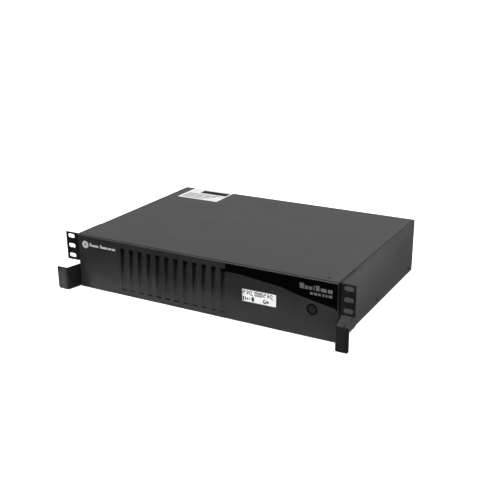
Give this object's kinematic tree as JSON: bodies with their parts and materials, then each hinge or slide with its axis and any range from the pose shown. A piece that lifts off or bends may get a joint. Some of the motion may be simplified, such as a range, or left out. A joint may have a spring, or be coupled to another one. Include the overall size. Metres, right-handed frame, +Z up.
{
  "type": "uninterruptible power supply",
  "caption": "Two-unit rack-mount uninterruptible power supply with vented bezel, lit display, front-loading battery tray, bent handle brackets and rear sockets.",
  "frame": {"origin": "bottom centre of the whole unit's box", "axes": "+X to the right seen from the front, +Y from the bezel to the rear panel, +Z up"},
  "size_m": [0.4878, 0.342, 0.0874],
  "materials": {
    "black_steel": "satin",
    "zinc_steel": "satin",
    "black_screws": "satin",
    "bright_screws": "satin",
    "guard_wire": "gloss",
    "spring_wire": "satin",
    "nylon_black": "satin",
    "nylon_white": "satin",
    "plug_grey": "satin",
    "lead_red": "satin",
    "lead_yellow": "satin",
    "circuit_board": "satin",
    "lcd_frame": "satin",
    "lcd_ink": "matte",
    "black_plastic": "satin",
    "lamination": "matte",
    "copper_winding": "satin",
    "choke_winding": "satin",
    "heatsink_aluminium": "satin",
    "transistor_epoxy": "matte",
    "capacitor_sleeve": "satin",
    "relay_case": "satin",
    "socket_black": "satin",
    "brass": "satin",
    "port_metal": "satin",
    "green_plastic": "satin",
    "label_paper": "matte",
    "bezel_plastic": "satin",
    "wave_gloss": "gloss",
    "window_clear": "gloss",
    "print_white": "satin",
    "button_plastic": "satin",
    "battery_case": "matte",
    "breaker_red": "satin",
    "lcd_glow": "satin"
  },
  "bodies": {
    "case": {"chassis_base": "black_steel", "top_cover": "black_steel", "rear_panel": "black_steel", "front_bulkhead": "zinc_steel", "rack_ear_left": "black_steel", "rack_ear_right": "black_steel", "ear_screws": "black_screws", "case_screws": "black_screws", "bezel_studs": "nylon_black", "battery_bay": "zinc_steel", "tray_runners": "nylon_white", "battery_socket": "plug_grey", "display_board": "circuit_board", "display_posts": "bright_screws", "lcd_module": "lcd_frame", "lcd_screen": "lcd_glow", "lcd_segments": "lcd_ink", "key_switch": "black_plastic", "transformer_core": "lamination", "transformer_winding": "copper_winding", "transformer_strap": "zinc_steel", "transformer_bolts": "bright_screws", "main_board": "circuit_board", "board_posts": "bright_screws", "heatsinks": "heatsink_aluminium", "power_transistors": "transistor_epoxy", "capacitors": "capacitor_sleeve", "relays": "relay_case", "chokes": "choke_winding", "internal_leads": "lead_yellow", "fan_frame": "black_plastic", "fan_guard": "guard_wire", "fan_screws": "black_screws", "ac_inlet": "socket_black", "inlet_pins": "brass", "breaker_housing": "socket_black", "outlet_sockets": "socket_black", "outlet_contacts": "brass", "comm_board": "circuit_board", "network_ports": "port_metal", "usb_port": "port_metal", "serial_port": "port_metal", "emergency_off_port": "green_plastic", "slot_cover": "black_steel", "slot_screws": "black_screws", "earth_stud": "brass", "top_label": "label_paper"},
    "bezel": {"front_bezel": "bezel_plastic", "wave_panel": "wave_gloss", "lcd_window": "window_clear", "bezel_marks": "print_white", "button_spring": "spring_wire"},
    "power_button": {"power_button": "button_plastic"},
    "battery_door": {"battery_door": "black_steel", "door_screws": "bright_screws"},
    "battery_tray": {"battery_tray": "zinc_steel", "batteries": "battery_case", "battery_harness": "lead_red"},
    "fan_rotor": {"fan_rotor": "black_plastic"},
    "breaker_button": {"breaker_button": "breaker_red"}
  },
  "joints": [
    {"name": "battery_tray_slide", "type": "slide", "parent": "case", "child": "battery_tray", "axis": [0, -1, 0], "range_m": [0, 0.18]},
    {"name": "bezel_pull", "type": "slide", "parent": "case", "child": "bezel", "axis": [0, -1, 0], "range_m": [0, 0.26]},
    {"name": "battery_door_pull", "type": "slide", "parent": "case", "child": "battery_door", "axis": [0, -1, 0], "range_m": [0, 0.22]},
    {"name": "power_button_press", "type": "slide", "parent": "bezel", "child": "power_button", "axis": [0, 1, 0], "range_m": [0, 0.0014], "stiffness_N_per_m": 600, "springref_m": -0.0015, "deforming": ["button_spring"]},
    {"name": "fan_spin", "type": "hinge", "parent": "case", "child": "fan_rotor", "pos_m": [0.165, 0.15, 0.04325], "axis": [0, 1, 0], "continuous": true},
    {"name": "breaker_reset", "type": "slide", "parent": "case", "child": "breaker_button", "axis": [0, 1, 0], "range_m": [0, 0.003]}
  ],
  "couplings": [
    {"joint": "bezel_pull", "follows": "battery_tray_slide", "ratio": 1.4444},
    {"joint": "battery_door_pull", "follows": "battery_tray_slide", "ratio": 1.2222}
  ]
}
